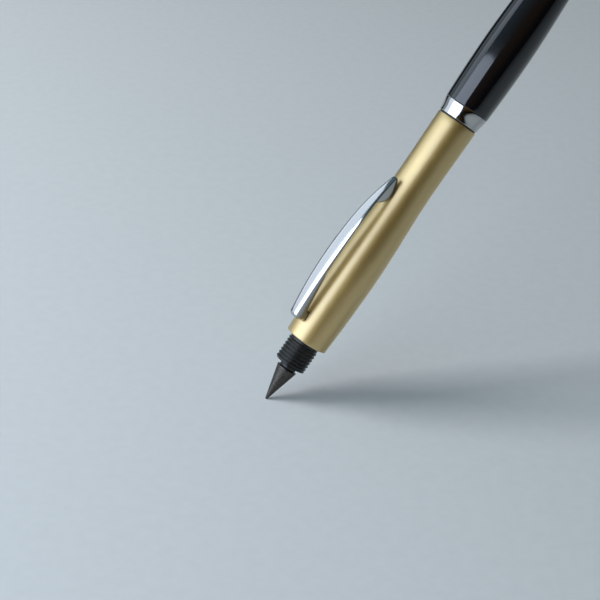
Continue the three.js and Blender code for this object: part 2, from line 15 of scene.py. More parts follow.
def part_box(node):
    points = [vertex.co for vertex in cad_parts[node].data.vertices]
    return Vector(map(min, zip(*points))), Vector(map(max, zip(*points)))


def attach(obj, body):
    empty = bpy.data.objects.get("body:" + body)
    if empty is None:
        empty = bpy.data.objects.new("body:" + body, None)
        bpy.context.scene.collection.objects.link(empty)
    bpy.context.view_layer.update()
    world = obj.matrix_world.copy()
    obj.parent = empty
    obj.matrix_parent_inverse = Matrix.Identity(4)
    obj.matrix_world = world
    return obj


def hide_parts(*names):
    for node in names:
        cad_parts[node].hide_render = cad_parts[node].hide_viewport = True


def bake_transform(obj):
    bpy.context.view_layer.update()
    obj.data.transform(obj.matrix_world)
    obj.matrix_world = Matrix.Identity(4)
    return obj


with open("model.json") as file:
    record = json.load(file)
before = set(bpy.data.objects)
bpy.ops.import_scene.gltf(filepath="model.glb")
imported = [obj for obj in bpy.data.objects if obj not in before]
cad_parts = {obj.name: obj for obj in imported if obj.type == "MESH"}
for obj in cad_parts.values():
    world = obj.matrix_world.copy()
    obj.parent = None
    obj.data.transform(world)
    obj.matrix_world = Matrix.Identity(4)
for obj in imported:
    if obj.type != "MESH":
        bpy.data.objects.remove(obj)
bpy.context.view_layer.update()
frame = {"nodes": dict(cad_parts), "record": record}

mm = 0.001
nodes = frame["nodes"]
print("nodes in the frame:", len(nodes))

# %% [markdown]
# The camera was worked out from the photograph. A 90 mm lens on a 36 mm sensor
# gives the photograph's mild perspective. The pen is described as the camera
# sees it: how far it leans to the right, how far its top leans towards the
# camera, and how far round the clip sits. These three angles make one turn from
# the pen's own axes to the camera's axes, and its inverse places the camera.

# %% Angles and distance of the view
lens = 90 * mm
sensor = 36 * mm
image_side = 600
tip_pixel = (265.85, 398.7)
tip_depth = 365.8 * mm
lean_right = math.radians(34.5)
lean_to_camera = math.radians(7.5)
clip_turn = math.radians(47.0)
camera_height_angle = math.radians(30.0)
nearest_seen = 10 * mm

pen_up = Vector((math.sin(lean_right) * math.cos(lean_to_camera),
                 math.cos(lean_right) * math.cos(lean_to_camera),
                 math.sin(lean_to_camera)))
left_edge = Vector((-math.cos(lean_right), math.sin(lean_right), 0))
near_side = left_edge.cross(pen_up).normalized()
if near_side.z < 0:
    near_side.negate()
clip_side = left_edge * math.cos(clip_turn) + near_side * math.sin(clip_turn)
pen_y = -clip_side
pen_x = pen_y.cross(pen_up)
pen_to_view = Matrix((pen_x, pen_y, pen_up)).transposed()
view_to_pen = pen_to_view.transposed()
print("clip side seen by the camera:", [round(value, 3) for value in clip_side])

# %% The camera itself
def ray_through(pixel):
    """Direction of the view ray through a pixel, one unit deep, in camera axes."""
    per_pixel = sensor / lens / image_side
    return Vector(((pixel[0] - image_side / 2) * per_pixel,
                   (image_side / 2 - pixel[1]) * per_pixel, -1))


tip_in_view = ray_through(tip_pixel) * tip_depth
camera_place = view_to_pen @ -tip_in_view
camera_data = bpy.data.cameras.new("camera")
camera_data.lens = lens / mm
camera_data.sensor_width = sensor / mm
camera_data.clip_start = nearest_seen
camera = bpy.data.objects.new("camera", camera_data)
camera.matrix_world = Matrix.Translation(camera_place) @ view_to_pen.to_4x4()
bpy.context.scene.collection.objects.link(camera)
bpy.context.scene.camera = camera
bpy.context.scene.view_settings.view_transform = "Standard"
print("camera at", [round(value, 4) for value in camera_place])

# %% [markdown]
# Every colour in this file is written as the sRGB hex value that a picture
# shows. Blender's shaders want linear light, so one function turns hex to
# linear. Another small function adds a node with its settings and links, which
# keeps each material short enough to read from top to bottom.

# %% Helpers for materials
def linear(hex_colour):
    """An sRGB hex colour as linear red, green, blue and alpha."""
    channels = [int(hex_colour[i:i + 2], 16) / 255 for i in (0, 2, 4)]
    bent = [c / 12.92 if c <= 0.04045 else ((c + 0.055) / 1.055) ** 2.4 for c in channels]
    return (*bent, 1.0)


def add_node(tree, kind, inputs=None, **settings):
    """Adds one node; an input that is given a socket is linked to it."""
    node = tree.nodes.new(kind)
    for name, value in settings.items():
        setattr(node, name, value)
    for name, value in (inputs or {}).items():
        usable = [socket for socket in node.inputs if socket.enabled and name == socket.name]
        socket = usable[0] if usable else node.inputs[name]
        if isinstance(value, bpy.types.NodeSocket):
            tree.links.new(value, socket)
        else:
            socket.default_value = value
    return node


def new_material(name):
    """An empty node material and its output node."""
    material = bpy.data.materials.new(name)
    material.use_nodes = True
    tree = material.node_tree
    tree.nodes.clear()
    output = add_node(tree, "ShaderNodeOutputMaterial")
    return material, tree, output


def finish_with(tree, output, shader):
    tree.links.new(shader.outputs[0], output.inputs["Surface"])


# %% Noise and colour pieces that several finishes use
# Most of the noise lies between these two values, so a range is spread over them.
noise_low, noise_high = 0.3, 0.7


def grain(tree, size, detail=3.0, stretch=(1, 1, 1)):
    """Noise with spots about size metres across; a scale below 1 draws them out along its axis."""
    place = add_node(tree, "ShaderNodeTexCoord")
    mapping = add_node(tree, "ShaderNodeMapping", {
        "Vector": place.outputs["Object"], "Scale": stretch})
    return add_node(tree, "ShaderNodeTexNoise", {
        "Vector": mapping.outputs["Vector"], "Scale": 1 / size, "Detail": detail})


def between(tree, factor, low, high):
    """Spreads noise over a range, such as from one roughness to another."""
    return add_node(tree, "ShaderNodeMapRange", {
        "Value": factor, "From Min": noise_low, "From Max": noise_high,
        "To Min": low, "To Max": high})


def two_tones(tree, factor, dark, light):
    """Spreads noise between two hex colours."""
    ramp = add_node(tree, "ShaderNodeValToRGB", {"Fac": factor})
    places = (noise_low, noise_high)
    for stop, place, colour in zip(ramp.color_ramp.elements, places, (dark, light)):
        stop.position = place
        stop.color = linear(colour)
    return ramp


# %% [markdown]
# The barrel is brass with a satin gold plating. Such a barrel is blasted with
# fine beads before plating, which leaves a soft even sheen with no grain
# direction. The beads' dimples are far finer than a pixel, so the sheen comes
# from roughness, with a coarser noise that breaks it up a little. The streak in
# the photograph has a paler, tighter middle than one rough metal gives, as of a
# thin hard lacquer over the plating, so a clear coat lies on top.

# %% Bead-blasted gold plating
def bead_blasted_gold():
    material, tree, output = new_material("bead_blasted_gold_plating")
    patches = grain(tree, 6 * mm, 2.0)
    beads = grain(tree, 0.12 * mm, 2.0)
    colour = two_tones(tree, patches.outputs["Fac"], "CDAA4A", "D1AE50")
    rough = between(tree, patches.outputs["Fac"], 0.45, 0.51)
    bump = add_node(tree, "ShaderNodeBump", {
        "Height": beads.outputs["Fac"], "Strength": 0.08, "Distance": 0.01 * mm})
    shader = add_node(tree, "ShaderNodeBsdfPrincipled", {
        "Base Color": colour.outputs["Color"], "Metallic": 1.0,
        "Roughness": rough.outputs["Result"], "Coat Weight": 1.0, "Coat IOR": 2.5,
        "Coat Roughness": 0.36, "Normal": bump.outputs["Normal"]})
    finish_with(tree, output, shader)
    return material


# %% [markdown]
# The clip, the ring and the nose are bright chromium plating on polished metal.
# It reflects the studio almost like a mirror, with a faint haze from handling.

# %% Polished chromium plating
def polished_chromium():
    material, tree, output = new_material("polished_chromium_plating")
    smudges = grain(tree, 4 * mm, 4.0)
    rough = between(tree, smudges.outputs["Fac"], 0.08, 0.13)
    shader = add_node(tree, "ShaderNodeBsdfPrincipled", {
        "Base Color": linear("C2C1C0"), "Metallic": 1.0, "Roughness": rough.outputs["Result"]})
    finish_with(tree, output, shader)
    return material


# %% [markdown]
# The black barrel is lacquered brass, sprayed and baked. Lacquer is a glossy
# film over a black ground, and it never dries quite flat, so a very shallow
# wave in the film makes its reflections wander slightly.

# %% Baked black lacquer
def baked_black_lacquer():
    material, tree, output = new_material("baked_black_lacquer")
    wave = grain(tree, 1.5 * mm, 1.0)
    bump = add_node(tree, "ShaderNodeBump", {
        "Height": wave.outputs["Fac"], "Strength": 0.03, "Distance": 0.05 * mm})
    haze = grain(tree, 5 * mm, 3.0)
    rough = between(tree, haze.outputs["Fac"], 0.07, 0.12)
    shader = add_node(tree, "ShaderNodeBsdfPrincipled", {
        "Base Color": linear("0D0D10"), "Roughness": rough.outputs["Result"],
        "Coat Weight": 0.6, "Coat Roughness": 0.05, "Normal": bump.outputs["Normal"]})
    finish_with(tree, output, shader)
    return material


# %% [markdown]
# The collar and the neck are turned aluminium, anodised black. The dye sits in
# a hard oxide layer, which looks like dark satin glass with fine turning lines.

# %% Black anodised aluminium
def black_anodised_aluminium():
    material, tree, output = new_material("black_anodised_aluminium")
    lines = grain(tree, 0.08 * mm, 2.0, stretch=(0.02, 0.02, 1))
    bump = add_node(tree, "ShaderNodeBump", {
        "Height": lines.outputs["Fac"], "Strength": 0.15, "Distance": 0.01 * mm})
    wear = grain(tree, 0.7 * mm, 4.0)
    rough = between(tree, wear.outputs["Fac"], 0.26, 0.40)
    colour = two_tones(tree, wear.outputs["Fac"], "1E1E1D", "2E2E2C")
    shader = add_node(tree, "ShaderNodeBsdfPrincipled", {
        "Base Color": colour.outputs["Color"], "Metallic": 0.35,
        "Roughness": rough.outputs["Result"], "Normal": bump.outputs["Normal"]})
    finish_with(tree, output, shader)
    return material


# %% [markdown]
# The pencil point is a soft metal alloy that wears as it writes. It was turned
# on a lathe, so it has fine rings, and use has left scuffs that catch the light.

# %% Worn writing alloy
def worn_writing_alloy():
    material, tree, output = new_material("worn_writing_alloy")
    rings = grain(tree, 0.16 * mm, 3.0, stretch=(0.05, 0.05, 1))
    scuffs = grain(tree, 0.5 * mm, 5.0)
    colour = two_tones(tree, scuffs.outputs["Fac"], "423F3C", "5E5954")
    rough = between(tree, scuffs.outputs["Fac"], 0.34, 0.52)
    both = add_node(tree, "ShaderNodeMath", {0: rings.outputs["Fac"], 1: scuffs.outputs["Fac"]},
                    operation="ADD")
    bump = add_node(tree, "ShaderNodeBump", {
        "Height": both.outputs["Value"], "Strength": 0.35, "Distance": 0.03 * mm})
    shader = add_node(tree, "ShaderNodeBsdfPrincipled", {
        "Base Color": colour.outputs["Color"], "Metallic": 1.0,
        "Roughness": rough.outputs["Result"], "Normal": bump.outputs["Normal"]})
    finish_with(tree, output, shader)
    return material


# %% [markdown]
# Inside the pen are a few plain workshop finishes: turned brass, drawn steel
# wire, moulded acetal and the clear-coated ink tubes of the refills. One function
# makes the metals and one the plastics, because each differs only in colour,
# gloss and the size of its grain.

# %% Turned metals and moulded plastics inside the pen
def turned_metal(name, dark, light, roughness):
    material, tree, output = new_material(name)
    rings = grain(tree, 0.1 * mm, 2.0, stretch=(0.05, 0.05, 1))
    colour = two_tones(tree, rings.outputs["Fac"], dark, light)
    rough = between(tree, rings.outputs["Fac"], roughness - 0.05, roughness + 0.05)
    bump = add_node(tree, "ShaderNodeBump", {
        "Height": rings.outputs["Fac"], "Strength": 0.2, "Distance": 0.01 * mm})
    shader = add_node(tree, "ShaderNodeBsdfPrincipled", {
        "Base Color": colour.outputs["Color"], "Metallic": 1.0,
        "Roughness": rough.outputs["Result"], "Normal": bump.outputs["Normal"]})
    finish_with(tree, output, shader)
    return material


def moulded_plastic(name, dark, light, roughness):
    material, tree, output = new_material(name)
    skin = grain(tree, 0.25 * mm, 3.0)
    colour = two_tones(tree, skin.outputs["Fac"], dark, light)
    rough = between(tree, skin.outputs["Fac"], roughness - 0.05, roughness + 0.05)
    bump = add_node(tree, "ShaderNodeBump", {
        "Height": skin.outputs["Fac"], "Strength": 0.1, "Distance": 0.02 * mm})
    shader = add_node(tree, "ShaderNodeBsdfPrincipled", {
        "Base Color": colour.outputs["Color"],
        "Roughness": rough.outputs["Result"], "Normal": bump.outputs["Normal"]})
    finish_with(tree, output, shader)
    return material


# %% Make each finish once
finishes = {
    "satin_gold": bead_blasted_gold(),
    "polished_chrome": polished_chromium(),
    "black_lacquer": baked_black_lacquer(),
    "black_anodised": black_anodised_aluminium(),
    "point_alloy": worn_writing_alloy(),
    "turned_brass": turned_metal("turned_brass", "A98A4C", "C4A566", 0.3),
    "spring_steel": turned_metal("drawn_spring_steel", "9A9DA2", "BFC1C5", 0.25),
    "natural_acetal": moulded_plastic("moulded_natural_acetal", "DEDCD2", "E9E7DF", 0.45),
    "black_acetal": moulded_plastic("moulded_black_acetal", "1B1B1D", "262628", 0.5),
    "refill_black": moulded_plastic("drawn_black_ink_tube", "141417", "1B1B1F", 0.3),
    "refill_red": moulded_plastic("drawn_red_ink_tube", "8E1218", "A0181E", 0.3),
}
slot_of = {entry["node"]: entry["material_slot"] for entry in frame["record"]["subparts"]}
bodies = frame["record"]["behaviour"]["bodies"]
body_of = {node: body for body, held in bodies.items() for node in held}
for name, node in nodes.items():
    node.data.materials.clear()
    node.data.materials.append(finishes[slot_of[name]])
print("finishes made:", len(finishes))

# %% [markdown]
# Most of a pen is turned on a lathe. The same is done here: a single vertex is
# extruded from corner to corner of the profile, and the profile is spun once
# round the pen's axis. A narrow bevel then breaks every sharp corner, because no
# real edge is perfectly sharp and the bevel is what catches the light.

# %% Helpers for turned pieces
weld_distance = 0.0005 * mm
fine_turn = 128


def deselect_all():
    bpy.ops.object.select_all(action="DESELECT")


def apply_modifiers(piece):
    deselect_all()
    piece.select_set(True)
    bpy.context.view_layer.objects.active = piece
    for modifier in list(piece.modifiers):
        bpy.ops.object.modifier_apply(modifier=modifier.name)


def draw_profile(name, corners, start=0):
    """Draws (radius, height) corners, in millimetres above a start, and stays in edit mode."""
    deselect_all()
    bpy.ops.mesh.primitive_plane_add(size=mm)
    piece = bpy.context.object
    piece.name = name
    bpy.ops.object.mode_set(mode="EDIT")
    bpy.ops.mesh.select_mode(type="VERT")
    bpy.ops.mesh.select_all(action="SELECT")
    bpy.ops.mesh.merge(type="CENTER")
    first_radius, first_height = corners[0]
    bpy.ops.transform.translate(value=(first_radius * mm, 0, (start + first_height) * mm))
    for (radius, height), (next_radius, next_height) in zip(corners, corners[1:]):
        step = ((next_radius - radius) * mm, 0, (next_height - height) * mm)
        bpy.ops.mesh.extrude_region_move(TRANSFORM_OT_translate={"value": step})
    return piece


def weld_seams():
    """Merges doubled vertices, turns the faces outward and leaves edit mode."""
    bpy.ops.mesh.select_all(action="SELECT")
    bpy.ops.mesh.remove_doubles(threshold=weld_distance)
    bpy.ops.mesh.normals_make_consistent(inside=False)
    bpy.ops.object.mode_set(mode="OBJECT")


def turn_profile(name, profile, steps=96):
    """Spins a closed profile once round the Z axis."""
    piece = draw_profile(name, profile)
    bpy.ops.mesh.select_all(action="SELECT")
    bpy.ops.mesh.spin(steps=steps, angle=2 * math.pi, center=(0, 0, 0), axis=(0, 0, 1))
    weld_seams()
    return piece


def break_edges(piece, width, segments=2, angle=28):
    bevel = piece.modifiers.new("broken_edges", "BEVEL")
    bevel.width = width * mm
    bevel.segments = segments
    bevel.limit_method = "ANGLE"
    bevel.angle_limit = math.radians(angle)
    apply_modifiers(piece)


def smooth(piece, angle=30):
    deselect_all()
    piece.select_set(True)
    bpy.context.view_layer.objects.active = piece
    bpy.ops.object.shade_smooth_by_angle(angle=math.radians(angle))


def stand_for(piece, node):
    """Gives a piece the finish of the CAD node that it replaces."""
    piece.data.materials.clear()
    piece.data.materials.append(finishes[slot_of[node]])
    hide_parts(node)
    print(f"{piece.name}: {len(piece.data.polygons)} faces")


def dress(piece, node):
    """Does the same for a piece that moves with the node's body."""
    stand_for(piece, node)
    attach(piece, body_of[node])


def boolean(piece, tool, operation):
    """Cuts or joins with another piece, deletes that one and merges the slivers that are left."""
    modifier = piece.modifiers.new(operation.lower(), "BOOLEAN")
    modifier.operation = operation
    modifier.solver = "EXACT"
    modifier.object = tool
    apply_modifiers(piece)
    bpy.data.objects.remove(tool, do_unlink=True)
    bpy.ops.object.mode_set(mode="EDIT")
    bpy.ops.mesh.select_all(action="SELECT")
    bpy.ops.mesh.remove_doubles(threshold=weld_distance)
    bpy.ops.mesh.dissolve_degenerate(threshold=weld_distance)
    bpy.ops.object.mode_set(mode="OBJECT")


# %% Smooth runs along a profile
def eased(share):
    return (1 - math.cos(math.pi * share)) / 2


def swelling(share):
    return math.sin(math.pi / 2 * share)


def run_between(start, end, shape, steps):
    """Points from one (radius, height) to the next, the radius following a curve."""
    points = []
    for i in range(steps + 1):
        share = i / steps
        points.append((start[0] + (end[0] - start[0]) * shape(share),
                       start[1] + (end[1] - start[1]) * share))
    return points


# %% Sizes read from the frame, in millimetres
# The fit is the clearance on the radius between two fitted pieces.
fit = 0.05


def span(node):
    """The lowest and highest point of a CAD node and its radius."""
    low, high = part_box(node)
    return low[2] / mm, high[2] / mm, high[0] / mm


_, stud_top, point_radius = span("pencil_point")
_, stem_top, neck_radius = span("point_bushing")
collar_bottom, shank_top, shank_radius = span("threaded_collar")
barrel_bottom, mouth, belly_radius = span("rear_barrel")
washer_bottom, washer_top, washer_radius = span("slip_washer")
ring_bottom, ring_top, ring_radius = span("center_ring")
front_bottom, front_top, front_radius = span("front_barrel")
shank_bottom, nose_top, _ = span("nose_cone")
print("barrel from", round(barrel_bottom, 2), "to", round(mouth, 2), "mm")

# %% [markdown]
# The writing cone is straight-sided with a short upright rim at its base and a
# blunt worn point. Behind it the black neck starts with a thin groove, so the
# cone's rim stands out against a dark line.

# %% The pencil point
point_length = 9.2
stud_radius = 1.1
rim_length = 0.35
rim_step = 0.04
worn_tip = [(0, 0), (0.14, 0.03), (0.25, 0.14), (0.31, 0.32)]
cone = turn_profile("writing_cone", worn_tip + [
    (point_radius - rim_step, point_length - rim_length),
    (point_radius, point_length - rim_length / 2),
    (point_radius, point_length), (stud_radius, point_length),
    (stud_radius, stud_top), (0, stud_top)])
break_edges(cone, 0.06, angle=35)
smooth(cone)
dress(cone, "pencil_point")

# %% The neck behind it
groove = 0.25
stem_radius = 1.9
neck_length = 1.2
bore = stud_radius + fit
bore_top = stud_top + 0.3
neck = turn_profile("point_neck", [
    (bore, point_length), (neck_radius - groove, point_length),
    (neck_radius - groove, point_length + groove), (neck_radius, point_length + groove),
    (neck_radius, point_length + neck_length), (stem_radius, point_length + neck_length),
    (stem_radius, stem_top), (0, stem_top), (0, bore_top), (bore, bore_top),
    (bore, point_length)], steps=64)
break_edges(neck, 0.05)
smooth(neck)
dress(neck, "point_bushing")

# %% [markdown]
# The collar carries a coarse screw thread for the crown cap. A thread is one
# profile that climbs as it turns, which is what the Screw modifier does: one
# pitch of the profile is drawn, and the modifier repeats it up the helix. The
# result is cut to length and trimmed by a turned envelope with chamfered ends,
# so the thread fades out at both ends as a cut thread does.

# %% The threaded collar
thread_pitch = 0.9
thread_radius = 4.05
thread_root = 3.78
thread_shoulder = thread_radius - 0.06
stem_bore = stem_radius + fit
thread_steps = 96
spare_turns = 1.5
spare_length = 0.2
cut_tolerance = 1e-8


def thread_rod(name):
    """A long threaded rod, cut off a little beyond both ends of the collar."""
    start = collar_bottom - spare_turns * thread_pitch
    turns = math.ceil((barrel_bottom - collar_bottom) / thread_pitch) + round(2 * spare_turns)
    # One ridge: up its flank, over the flat crest, down again and along the root to the next.
    rod = draw_profile(name, [
        (thread_root, 0), (thread_shoulder, 0.2), (thread_radius, 0.28), (thread_radius, 0.42),
        (thread_shoulder, 0.5), (thread_root, 0.7), (thread_root, thread_pitch)], start)
    bpy.ops.object.mode_set(mode="OBJECT")
    screw = rod.modifiers.new("helix", "SCREW")
    screw.angle = 2 * math.pi
    screw.screw_offset = thread_pitch * mm
    screw.iterations = turns
    screw.steps = screw.render_steps = thread_steps
    screw.use_merge_vertices = True
    screw.merge_threshold = 0.001 * mm
    apply_modifiers(rod)
    bpy.ops.object.mode_set(mode="EDIT")
    for height, up in ((collar_bottom - spare_length, -1), (barrel_bottom + spare_length, 1)):
        bpy.ops.mesh.select_all(action="SELECT")
        bpy.ops.mesh.bisect(plane_co=(0, 0, height * mm), plane_no=(0, 0, up),
                            use_fill=True, clear_outer=True, threshold=cut_tolerance)
    weld_seams()
    return rod


collar = thread_rod("threaded_collar_body")
chamfer = 0.15
fade_length = 0.3
envelope_radius = thread_radius + 0.02
band_radius = thread_root + 0.03
band_bottom = barrel_bottom - 0.9
envelope = turn_profile("collar_envelope", [
    (stem_bore, collar_bottom), (thread_radius - chamfer, collar_bottom),
    (envelope_radius, collar_bottom + chamfer), (envelope_radius, band_bottom - fade_length),
    (band_radius, band_bottom), (band_radius, barrel_bottom),
    (stem_bore, barrel_bottom), (stem_bore, collar_bottom)])
boolean(collar, envelope, "INTERSECT")
shank = turn_profile("collar_shank", [
    (stem_bore, band_bottom), (band_radius, band_bottom), (band_radius, barrel_bottom),
    (shank_radius, barrel_bottom), (shank_radius, shank_top), (stem_bore, shank_top),
    (stem_bore, band_bottom)])
boolean(collar, shank, "UNION")
smooth(collar, 25)
dress(collar, "threaded_collar")

# %% [markdown]
# The gold barrel swells from the collar to a belly, draws in to a waist and
# opens again slightly at its mouth. Three smooth curves give that line with no
# corner between them, and a quarter round finishes each end. A small window lets
# the clip's leg through the wall.

# %% The gold barrel
barrel_bore = shank_radius + fit
collar_end_radius = barrel_bore + 1.12
waist_radius = barrel_bore + 0.66
mouth_radius = waist_radius + 0.14
belly_height = barrel_bottom + 19.8
waist_height = mouth - 16
end_edge, mouth_edge = 0.3, 0.14


def rounded_corner(radius, height, size, upward, steps=4):
    """A quarter round for an outer corner, from the flat end to the side; upward is 1 or -1."""
    points = []
    for i in range(steps + 1):
        angle = math.pi / 2 * i / steps
        points.append((radius - size + size * math.sin(angle),
                       height + upward * (size - size * math.cos(angle))))
    return points


def gold_barrel():
    shoulder = (collar_end_radius, barrel_bottom + end_edge)
    belly, waist = (belly_radius, belly_height), (waist_radius, waist_height)
    shape = [(barrel_bore, barrel_bottom)]
    shape += rounded_corner(collar_end_radius, barrel_bottom, end_edge, 1)
    shape += run_between(shoulder, belly, swelling, steps=18)[1:]
    shape += run_between(belly, waist, eased, steps=30)[1:]
    shape += run_between(waist, (mouth_radius, mouth - mouth_edge), eased, steps=10)[1:]
    shape += reversed(rounded_corner(mouth_radius, mouth, mouth_edge, -1)[:-1])
    shape += [(barrel_bore, mouth), (barrel_bore, barrel_bottom)]
    return turn_profile("gold_barrel", shape, steps=fine_turn)


barrel = gold_barrel()
print(f"{barrel.name}: waist {waist_radius:.2f} mm, mouth {mouth_radius:.2f} mm in radius")

# %% The window for the clip's leg
def block(radius, height, size, corner):
    """A block on the clip's side of the pen, of a width, depth and height, with broken edges."""
    deselect_all()
    bpy.ops.mesh.primitive_cube_add(size=1, location=(0, -radius * mm, height * mm),
                                    scale=[side * mm for side in size])
    piece = bpy.context.object
    bpy.ops.object.transform_apply(location=True, rotation=True, scale=True)
    break_edges(piece, corner, segments=3)
    return piece


clip_low, clip_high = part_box("clip")
clip_root = clip_low[2] / mm
leg_width, leg_depth, leg_inset = 2.0, 2.1, 0.6
leg_middle = clip_root + leg_inset + leg_depth / 2
window_gap, window_reach, window_corner = 0.12, 4, 0.3
window_size = (leg_width + 2 * window_gap, window_reach, leg_depth + 2 * window_gap)
window = block(belly_radius, leg_middle, window_size, window_corner)
boolean(barrel, window, "DIFFERENCE")
smooth(barrel)
dress(barrel, "rear_barrel")

# %% [markdown]
# The clip is a willow leaf of polished steel, bent to a shallow arch: thick at
# its root, thin along the arch, with a pad under its tip that rests against the
# barrel. It starts as a bar, subdivided along and across. Each row of vertices
# is then moved by the formulas of the arch, the leaf's outline and the
# underside, which keeps the long faces smoother than moving rows by hand would.
# The outer face is crowned and rolls over at its edges as polished metal does.

# %% Shape of the clip along its length
clip_tip = clip_high[2] / mm
crest_height = clip_root + 15.8
crest_radius = -clip_low[1] / mm
root_arc = 112.0
tip_drop, tip_drop_late = 2.4, 1.1
widest_height = clip_root + 19.6
max_half_width = clip_high[0] / mm + 0.12
root_half_width, tip_half_width = 1.35, 0.7
root_thickness, crest_thickness, leaf_thickness = 3.1, 1.25, 0.6
pad_start, pad_end = clip_tip - 7.4, clip_tip + 0.1
pad_gap = 0.07
pad_fullness = 0.8
underside_width, pad_width = 0.8, 1.15
root_round, tip_round = 1.0, 0.7
blunt_share, opened_share = 0.55, 0.45
root_taper, tip_taper = 2, 1.7


def smooth_step(value, low, high):
    share = min(1.0, max(0.0, (value - low) / (high - low)))
    return share * share * (3 - 2 * share)


def barrel_radius_at(height):
    return waist_radius + (belly_radius - waist_radius) * (
        1 - eased((height - belly_height) / (waist_height - belly_height)))


def opened(height):
    """How far a rounded end has opened out: 0 at the very end, 1 where the rounding stops."""
    share = min((height - clip_root) / root_round, (clip_tip - height) / tip_round, 1.0)
    return math.sqrt(max(0.0, 1 - (1 - share) ** 2))


def clip_outer(height):
    if height < crest_height:
        return crest_radius - (crest_height - height) ** 2 / (2 * root_arc)
    share = (height - crest_height) / (clip_tip - crest_height)
    return crest_radius - tip_drop * share ** 2 - tip_drop_late * share ** 4


def padded(height):
    """The pad's bump: 0 at its two ends, 1 at its middle."""
    share = min(1.0, max(0.0, (height - pad_start) / (pad_end - pad_start)))
    return math.sin(math.pi * share) ** pad_fullness


def leaf_thickness_at(height):
    share = max(0.0, (crest_height - height) / (crest_height - clip_root))
    thinning = (crest_thickness - leaf_thickness) * smooth_step(height, crest_height, pad_start)
    return crest_thickness + (root_thickness - crest_thickness) * share - thinning


def clip_inner(height):
    plain = clip_outer(height) - leaf_thickness_at(height)
    contact = barrel_radius_at(height) + pad_gap
    return plain + (contact - plain) * padded(height)


def clip_half_width(height):
    if height < widest_height:
        share = (widest_height - height) / (widest_height - clip_root)
        half = max_half_width - (max_half_width - root_half_width) * share ** root_taper
    else:
        share = (height - widest_height) / (clip_tip - widest_height)
        half = max_half_width - (max_half_width - tip_half_width) * share ** tip_taper
    return half * (blunt_share + opened_share * opened(height))


# %% The bar and its rows
def spread(low, high, count):
    return [low + (high - low) * i / count for i in range(count)]


clip_heights = (spread(clip_root, clip_root + root_round, 10)
                + spread(clip_root + root_round, pad_start, 64)
                + spread(pad_start, clip_tip - tip_round, 32)
                + spread(clip_tip - tip_round, clip_tip, 8) + [clip_tip])
crown, edge_roll = 0.2, 0.25
roll_start = 0.76
right_columns = [0.2, 0.4, 0.62, roll_start, 0.83, 0.9, 0.95, 0.985, 1]
clip_columns = [-column for column in reversed(right_columns)] + [0] + right_columns
leaf_edge, leaf_edge_angle = 0.08, 40


def subdivide_along(piece, axis, cuts):
    """Cuts every edge that runs along one axis of the starting cube, whose sides are 1."""
    bpy.ops.object.mode_set(mode="EDIT")
    bpy.ops.mesh.select_mode(type="EDGE")
    bpy.ops.mesh.select_all(action="DESELECT")
    bpy.ops.object.mode_set(mode="OBJECT")
    for side in piece.data.edges:
        run = piece.data.vertices[side.vertices[0]].co - piece.data.vertices[side.vertices[1]].co
        side.select = abs(run[axis]) > 0.5
    bpy.ops.object.mode_set(mode="EDIT")
    bpy.ops.mesh.subdivide(number_cuts=cuts)
    bpy.ops.object.mode_set(mode="OBJECT")


def clip_leaf():
    deselect_all()
    bpy.ops.mesh.primitive_cube_add(size=1)
    leaf = bpy.context.object
    leaf.name = "leaf_clip"
    subdivide_along(leaf, 2, len(clip_heights) - 2)
    subdivide_along(leaf, 0, len(clip_columns) - 2)
    for vertex in leaf.data.vertices:
        height = clip_heights[round((vertex.co.z + 0.5) * (len(clip_heights) - 1))]
        across = clip_columns[round((vertex.co.x + 0.5) * (len(clip_columns) - 1))]
        inner = clip_inner(height)
        full = clip_outer(height)
        outer = full - (full - inner) * (1 - opened(height)) / 2
        roll = 1 - math.sqrt(1 - max(0.0, (abs(across) - roll_start) / (1 - roll_start)) ** 2)
        fullness = min(1.0, leaf_thickness_at(height) * (1 + opened(height)) / 2)
        outer -= fullness * (crown * across ** 2 + edge_roll * roll)
        radius = outer if vertex.co.y < 0 else inner
        under = underside_width + (pad_width - underside_width) * padded(height)
        half = clip_half_width(height) * (1 if vertex.co.y < 0 else under)
        vertex.co = (half * across * mm, -radius * mm, height * mm)
    break_edges(leaf, leaf_edge, segments=3, angle=leaf_edge_angle)
    return leaf


clip = clip_leaf()

# %% [markdown]
# The leg goes through the window in the barrel. It is a plain block with broken
# edges that runs up into the leaf's thick root, and the two are joined as one.

# %% The clip's leg
leg_reach, leg_overlap, leg_corner = 0.65, 0.5, 0.25
leg_foot = barrel_bore - leg_reach
leg_top = clip_inner(leg_middle) + leg_overlap
leg = block((leg_foot + leg_top) / 2, leg_middle,
            (leg_width, leg_top - leg_foot, leg_depth), leg_corner)
boolean(clip, leg, "UNION")
smooth(clip, 35)
dress(clip, "clip")

# %% [markdown]
# Between the gold and the black halves lie a thin dark washer, on which the
# halves turn, and a polished ring that flares out to meet the black barrel.

# %% Washer and flared ring
guide_radius = span("guide_tube")[2]
ring_bore = guide_radius + fit
washer = turn_profile("joint_washer", [
    (ring_bore, washer_bottom), (washer_radius, washer_bottom),
    (washer_radius, washer_top), (ring_bore, washer_top), (ring_bore, washer_bottom)])
smooth(washer)
dress(washer, "slip_washer")

ring_start_radius = mouth_radius + 0.03
ring_start_edge, ring_end_edge = 0.08, 0.12
flare = turn_profile("flared_ring", [
    (ring_bore, ring_bottom)]
    + rounded_corner(ring_start_radius, ring_bottom, ring_start_edge, 1)
    + run_between((ring_start_radius, ring_bottom + ring_start_edge),
                  (ring_radius, ring_top - ring_end_edge), eased, steps=16)[1:]
    + list(reversed(rounded_corner(ring_radius, ring_top, ring_end_edge, -1)[:-1]))
    + [(ring_bore, ring_top), (ring_bore, ring_bottom)], steps=fine_turn)
smooth(flare)
dress(flare, "center_ring")

